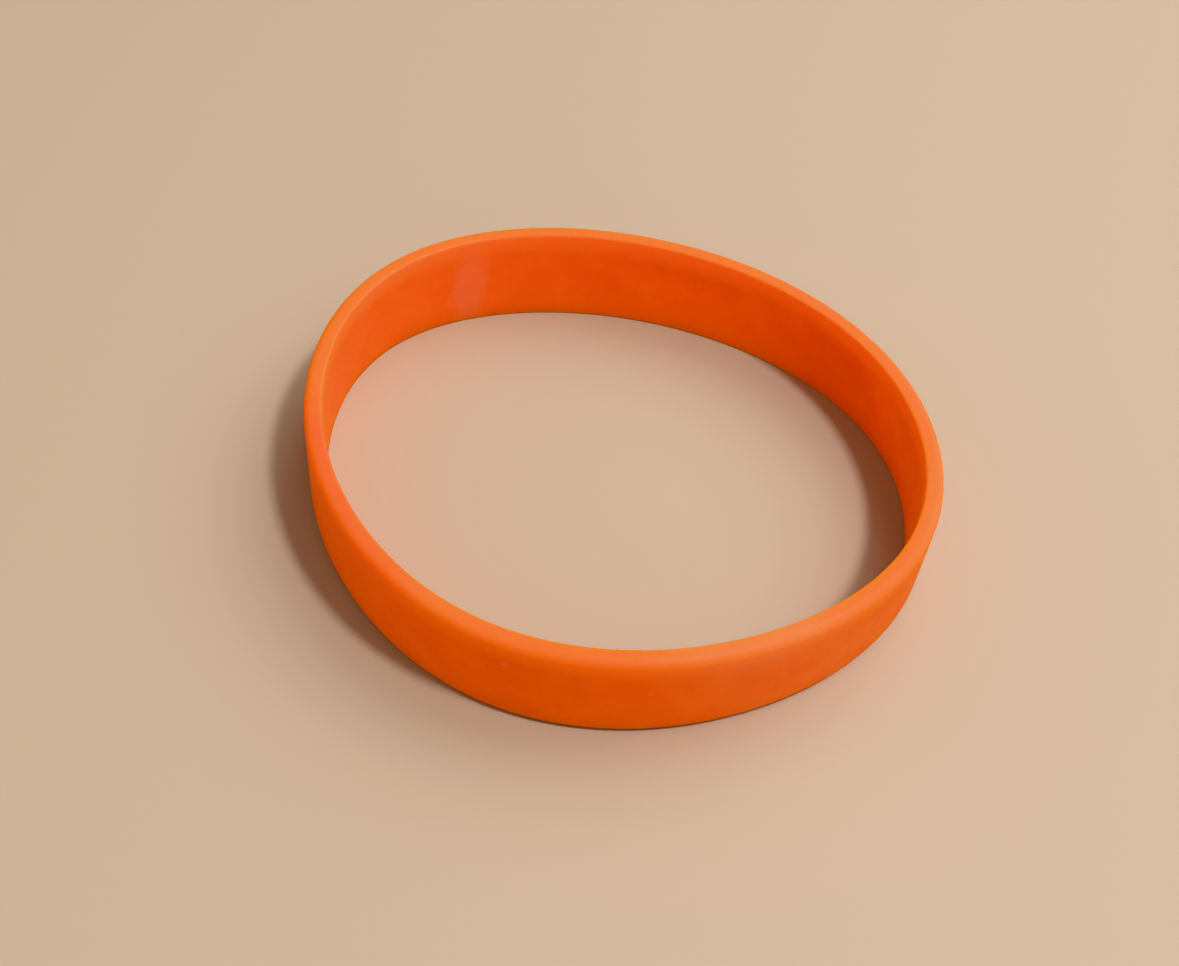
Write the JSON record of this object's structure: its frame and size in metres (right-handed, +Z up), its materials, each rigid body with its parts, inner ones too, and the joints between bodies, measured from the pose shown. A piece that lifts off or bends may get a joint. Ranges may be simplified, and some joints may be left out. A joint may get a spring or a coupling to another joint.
{
  "type": "silicone wristband",
  "caption": "Plain orange silicone wristband: one closed flat-walled loop with softly rounded rims, lying on its edge.",
  "frame": {"origin": "middle of the band's box, on the surface that its lower rim rests on", "axes": "+Z up through the opening, along the wrist; +X along the longest way across the loop; +Y across it"},
  "size_m": [0.073, 0.0648, 0.012],
  "materials": {
    "silicone": "matte moulded"
  },
  "bodies": {
    "root": {"wristband": "silicone"}
  },
  "joints": []
}
